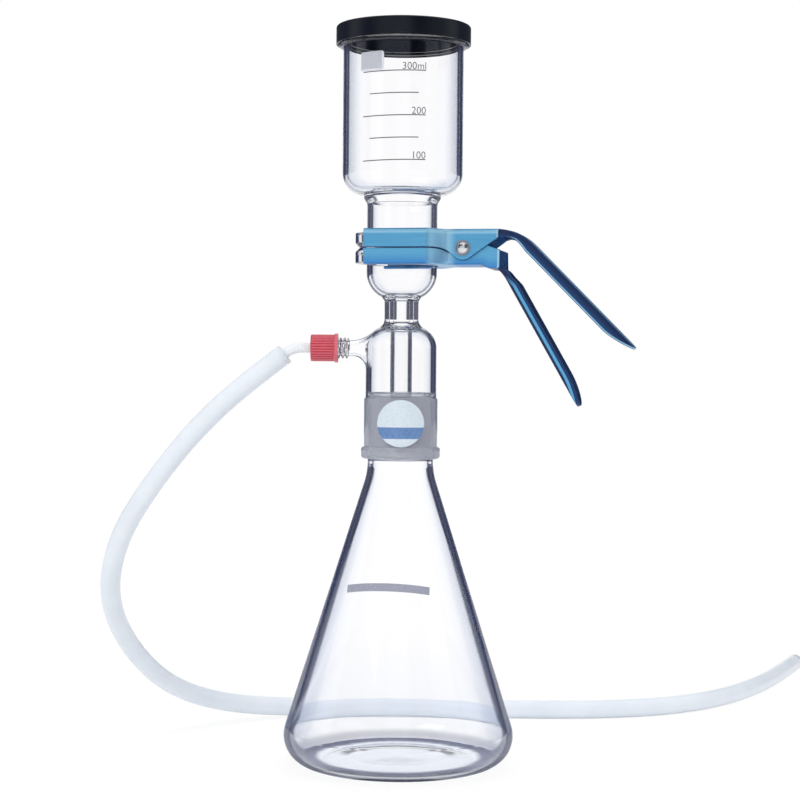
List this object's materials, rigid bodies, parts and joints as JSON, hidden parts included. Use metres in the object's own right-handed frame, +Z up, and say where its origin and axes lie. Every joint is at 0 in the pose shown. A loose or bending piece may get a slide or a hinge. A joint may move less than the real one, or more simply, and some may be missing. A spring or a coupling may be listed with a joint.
{
  "type": "vacuum filtration unit",
  "caption": "Laboratory vacuum filtration unit: conical flask, filter head with threaded side arm, graduated cup with lid, spring clamp and suction hose.",
  "frame": {"origin": "centre of the flask's foot, on the table", "axes": "+Z up along the glass axis; the side arm points along -X; -Y is the front, where the graduations and the label are"},
  "size_m": [0.5158, 0.4656, 0.451],
  "materials": {
    "clear_glass": "clear, ground at the joint",
    "sintered_glass": "matt, porous",
    "black_plastic": "glossy",
    "blue_aluminium": "anodised, satin",
    "bright_steel": "polished",
    "spring_steel": "drawn wire",
    "red_plastic": "satin",
    "silicone": "matt",
    "clear_plastic": "translucent",
    "milky_silicone": "translucent, smooth",
    "label_film": "satin film"
  },
  "bodies": {
    "glassware": {"flask": "clear_glass", "filter_head": "clear_glass", "side_arm": "clear_glass", "drip_tube": "clear_glass", "filter_bowl": "clear_glass", "frit_disc": "sintered_glass", "funnel_cup": "clear_glass", "lid": "black_plastic", "clamp_pivot_rivet": "bright_steel", "clamp_washer_front": "bright_steel", "clamp_washer_back": "bright_steel", "clamp_spring": "spring_steel", "hose_connector": "clear_plastic", "hose": "milky_silicone", "round_label": "label_film"},
    "upper_lever": {"clamp_upper_lever": "blue_aluminium"},
    "lower_lever": {"clamp_lower_lever": "blue_aluminium"},
    "seal": {"seal_washer": "silicone"},
    "cap": {"screw_cap": "red_plastic"}
  },
  "joints": [
    {"name": "clamp_upper_hinge", "type": "hinge", "parent": "glassware", "child": "upper_lever", "pos_m": [0.03977, -0.00816, 0.3149], "axis": [0.2011, 0.9796, 0], "range_deg": [0, 8], "stiffness_Nm_per_rad": 0.6, "springref_deg": -28.65, "deforming": ["clamp_spring"]},
    {"name": "clamp_lower_hinge", "type": "hinge", "parent": "glassware", "child": "lower_lever", "pos_m": [0.03977, -0.00816, 0.3149], "axis": [0.2011, 0.9796, 0], "range_deg": [-8, 0], "stiffness_Nm_per_rad": 0.6, "springref_deg": 28.65},
    {"name": "seal_advance", "type": "slide", "parent": "glassware", "child": "seal", "axis": [-1, 0, 0], "range_m": [0, 0.00505]},
    {"name": "cap_turn", "type": "hinge", "parent": "seal", "child": "cap", "pos_m": [-0.047, 0, 0.25475], "axis": [-1, 0, 0], "range_deg": [0, 720]}
  ],
  "couplings": [
    {"joint": "clamp_lower_hinge", "follows": "clamp_upper_hinge", "ratio": -1},
    {"joint": "seal_advance", "follows": "cap_turn", "m_per_rad": 0.00039789}
  ]
}
